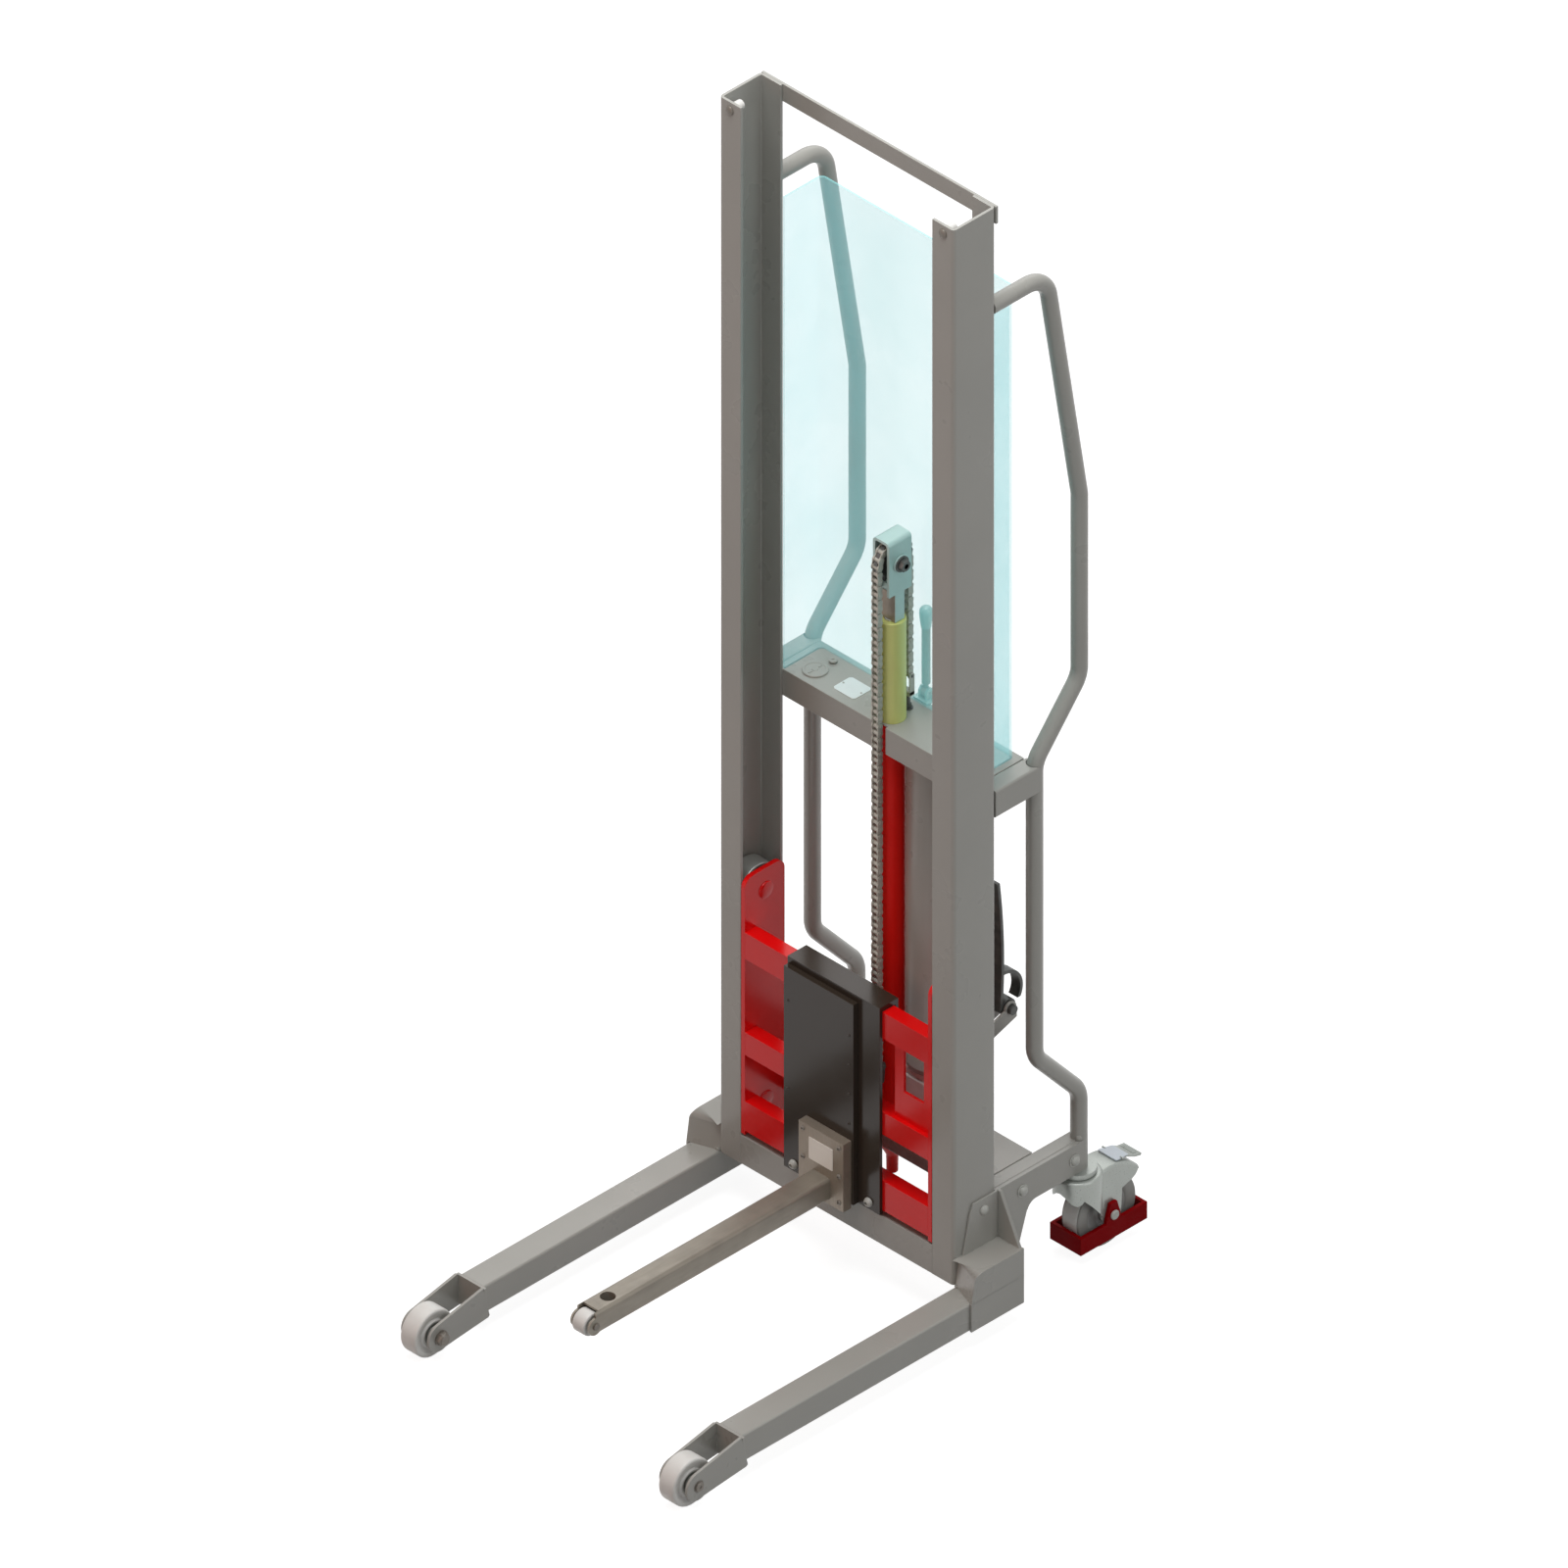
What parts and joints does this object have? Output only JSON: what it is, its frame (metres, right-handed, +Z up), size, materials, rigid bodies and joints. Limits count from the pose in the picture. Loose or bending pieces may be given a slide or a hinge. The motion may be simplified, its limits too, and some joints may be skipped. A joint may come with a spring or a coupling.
{
  "type": "hand pallet stacker",
  "caption": "Manual stacker with straddle legs, a channel mast, a chain-lifted carriage carrying a forward boom, tube handles, a clear guard and braked swivel casters.",
  "frame": {"origin": "on the floor, under the middle of the overall box at rest", "axes": "+Z up, +X to the right across the machine as seen from the legs' side, +Y from the legs' tips to the operator"},
  "size_m": [0.618, 1.037, 2.03],
  "materials": {
    "frame_grey": "satin powder coat",
    "carriage_red": "gloss paint",
    "tool_black": "satin paint",
    "bare_steel": "plated steel",
    "zinc": "bright zinc",
    "chain_steel": "oiled steel",
    "hard_chrome": "ground and chromed",
    "sleeve_yellow": "smooth",
    "nylon_white": "cast nylon",
    "roller_steel": "turned",
    "wheel_grey": "grey tread",
    "foot_guard_red": "satin paint",
    "clear_guard": "clear polycarbonate"
  },
  "bodies": {
    "chassis": {"mast_upright_left": "frame_grey", "mast_upright_right": "frame_grey", "mast_top_bar": "frame_grey", "mast_foot_beam": "frame_grey", "leg_left": "frame_grey", "leg_right": "frame_grey", "leg_fork_left": "frame_grey", "leg_fork_right": "frame_grey", "front_axles": "zinc", "corner_brackets": "frame_grey", "lower_arms": "frame_grey", "base_plate": "frame_grey", "handle_left": "frame_grey", "handle_right": "frame_grey", "upper_arms": "frame_grey", "deck_tray": "frame_grey", "guard_screen": "clear_guard", "cylinder_barrel": "carriage_red", "cylinder_sleeve": "sleeve_yellow", "oil_tank": "frame_grey", "pump_block": "bare_steel", "pedal_bracket": "frame_grey", "chain_anchor": "chain_steel", "chain_rear": "chain_steel", "deck_fittings": "zinc", "frame_bolts": "zinc", "caster_heads": "zinc"},
    "lift_ram": {"ram_rod": "hard_chrome", "ram_head": "zinc", "chain_wheel_axle": "zinc", "chain_top": "chain_steel", "chain_front": "chain_steel"},
    "chain_wheel_body": {"chain_wheel": "chain_steel"},
    "carriage": {"carriage_sides": "carriage_red", "carriage_bars": "carriage_red", "carriage_back_plate": "carriage_red", "guide_roller_pins": "zinc", "chain_clevis": "chain_steel", "tool_plate": "tool_black", "tool_cover": "tool_black", "boom_flange": "bare_steel", "boom": "bare_steel", "tool_fasteners": "zinc"},
    "guide_upper_left": {"guide_roller_upper_left": "roller_steel"},
    "guide_upper_right": {"guide_roller_upper_right": "roller_steel"},
    "guide_lower_left": {"guide_roller_lower_left": "roller_steel"},
    "guide_lower_right": {"guide_roller_lower_right": "roller_steel"},
    "boom_tip_roller": {"tip_roller": "nylon_white"},
    "roller_left": {"front_roller_left": "nylon_white"},
    "roller_right": {"front_roller_right": "nylon_white"},
    "caster_left": {"caster_fork_left": "zinc", "foot_guard_left": "foot_guard_red"},
    "caster_right": {"caster_fork_right": "zinc", "foot_guard_right": "foot_guard_red"},
    "wheel_left": {"caster_wheel_left": "wheel_grey"},
    "wheel_right": {"caster_wheel_right": "wheel_grey"},
    "brake_left": {"brake_pedal_left": "zinc"},
    "brake_right": {"brake_pedal_right": "zinc"},
    "foot_pump": {"pump_pedal": "tool_black"},
    "lever": {"release_lever": "tool_black"}
  },
  "joints": [
    {"name": "ram_lift", "type": "slide", "parent": "chassis", "child": "lift_ram", "axis": [0, 0, 1], "range_m": [0, 0.6858], "deforming": ["chain_rear"]},
    {"name": "carriage_lift", "type": "slide", "parent": "lift_ram", "child": "carriage", "axis": [0, 0, 1], "range_m": [0, 0.6858], "deforming": ["chain_front"]},
    {"name": "chain_wheel_spin", "type": "hinge", "parent": "lift_ram", "child": "chain_wheel_body", "pos_m": [0, 0.2395, 1.2424], "axis": [1, 0, 0], "continuous": true},
    {"name": "guide_upper_left_spin", "type": "hinge", "parent": "carriage", "child": "guide_upper_left", "pos_m": [-0.225, 0.1655, 0.571], "axis": [1, 0, 0], "continuous": true},
    {"name": "guide_upper_right_spin", "type": "hinge", "parent": "carriage", "child": "guide_upper_right", "pos_m": [0.225, 0.1655, 0.571], "axis": [1, 0, 0], "continuous": true},
    {"name": "guide_lower_left_spin", "type": "hinge", "parent": "carriage", "child": "guide_lower_left", "pos_m": [-0.225, 0.1655, 0.185], "axis": [1, 0, 0], "continuous": true},
    {"name": "guide_lower_right_spin", "type": "hinge", "parent": "carriage", "child": "guide_lower_right", "pos_m": [0.225, 0.1655, 0.185], "axis": [1, 0, 0], "continuous": true},
    {"name": "tip_roller_spin", "type": "hinge", "parent": "carriage", "child": "boom_tip_roller", "pos_m": [0, -0.4115, 0.16], "axis": [1, 0, 0], "continuous": true},
    {"name": "front_roller_left_spin", "type": "hinge", "parent": "chassis", "child": "roller_left", "pos_m": [-0.275, -0.4775, 0.041], "axis": [1, 0, 0], "continuous": true},
    {"name": "front_roller_right_spin", "type": "hinge", "parent": "chassis", "child": "roller_right", "pos_m": [0.275, -0.4775, 0.041], "axis": [1, 0, 0], "continuous": true},
    {"name": "caster_left_swivel", "type": "hinge", "parent": "chassis", "child": "caster_left", "pos_m": [-0.23355, 0.4005, 0.14], "axis": [0, 0, 1], "continuous": true},
    {"name": "caster_left_roll", "type": "hinge", "parent": "caster_left", "child": "wheel_left", "pos_m": [-0.23355, 0.4455, 0.0625], "axis": [1, 0, 0], "continuous": true},
    {"name": "brake_left_press", "type": "hinge", "parent": "caster_left", "child": "brake_left", "pos_m": [-0.23355, 0.4755, 0.1465], "axis": [1, 0, 0], "range_deg": [-12, 0]},
    {"name": "caster_right_swivel", "type": "hinge", "parent": "chassis", "child": "caster_right", "pos_m": [0.23355, 0.4005, 0.14], "axis": [0, 0, 1], "continuous": true},
    {"name": "caster_right_roll", "type": "hinge", "parent": "caster_right", "child": "wheel_right", "pos_m": [0.23355, 0.4455, 0.0625], "axis": [1, 0, 0], "continuous": true},
    {"name": "brake_right_press", "type": "hinge", "parent": "caster_right", "child": "brake_right", "pos_m": [0.23355, 0.4755, 0.1465], "axis": [1, 0, 0], "range_deg": [-12, 0]},
    {"name": "pump_stroke", "type": "hinge", "parent": "chassis", "child": "foot_pump", "pos_m": [0.15, 0.3275, 0.45], "axis": [1, 0, 0], "range_deg": [-60, 0], "stiffness_Nm_per_rad": 2, "springref_deg": 20.05},
    {"name": "lever_release", "type": "hinge", "parent": "chassis", "child": "lever", "pos_m": [0.003, 0.3085, 0.965], "axis": [1, 0, 0], "range_deg": [-20, 0], "stiffness_Nm_per_rad": 0.5, "springref_deg": 17.19}
  ],
  "couplings": [
    {"joint": "carriage_lift", "follows": "ram_lift", "ratio": 1},
    {"joint": "chain_wheel_spin", "follows": "ram_lift", "rad_per_m": -30.921},
    {"joint": "guide_upper_left_spin", "follows": "ram_lift", "rad_per_m": 50.761},
    {"joint": "guide_upper_right_spin", "follows": "ram_lift", "rad_per_m": 50.761},
    {"joint": "guide_lower_left_spin", "follows": "ram_lift", "rad_per_m": -50.761},
    {"joint": "guide_lower_right_spin", "follows": "ram_lift", "rad_per_m": -50.761}
  ]
}
